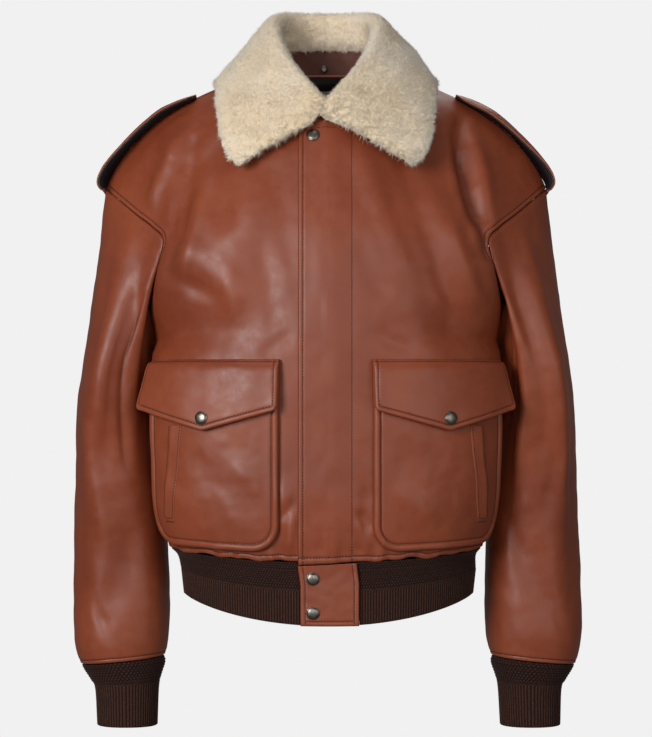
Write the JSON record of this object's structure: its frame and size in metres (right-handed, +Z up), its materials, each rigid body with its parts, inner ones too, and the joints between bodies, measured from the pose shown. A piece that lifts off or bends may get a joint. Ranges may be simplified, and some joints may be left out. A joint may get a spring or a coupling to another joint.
{
  "type": "leather bomber jacket",
  "caption": "Hollow leather bomber jacket with a shearling collar, shoulder straps, flap pockets, and a ribbed waistband and cuffs.",
  "frame": {"origin": "on the centre line, level with the side neck points, where the wearer's shoulders carry the jacket", "axes": "+Z up, front faces -Y, the wearer's left side is at +X"},
  "size_m": [0.5919, 0.286, 0.8351],
  "materials": {
    "tan_leather": "smooth grained leather, soft sheen",
    "dark_leather": "matt dark leather",
    "brown_knit": "ribbed wool knit",
    "cream_shearling": "clipped shearling pile",
    "black_lining": "smooth lining",
    "beige_label": "woven label, bare",
    "snap_metal": "aged dark snap cap"
  },
  "bodies": {
    "root": {"back": "tan_leather", "collar": "cream_shearling", "collar_stand": "tan_leather", "cuff_left": "brown_knit", "cuff_right": "brown_knit", "epaulette_left": "tan_leather", "epaulette_right": "tan_leather", "epaulette_under_left": "dark_leather", "epaulette_under_right": "dark_leather", "front_left": "tan_leather", "front_right": "tan_leather", "hem_band": "brown_knit", "hem_tab": "tan_leather", "label": "beige_label", "neck_lining": "black_lining", "pocket_flap_left": "tan_leather", "pocket_flap_right": "tan_leather", "pocket_left": "tan_leather", "pocket_right": "tan_leather", "pocket_welt_left": "tan_leather", "pocket_welt_right": "tan_leather", "sleeve_left": "tan_leather", "sleeve_right": "tan_leather", "snap_hem_lower": "snap_metal", "snap_hem_upper": "snap_metal", "snap_neck": "snap_metal", "snap_pocket_left": "snap_metal", "snap_pocket_right": "snap_metal", "snap_stand": "snap_metal", "under_collar": "dark_leather"}
  },
  "joints": []
}
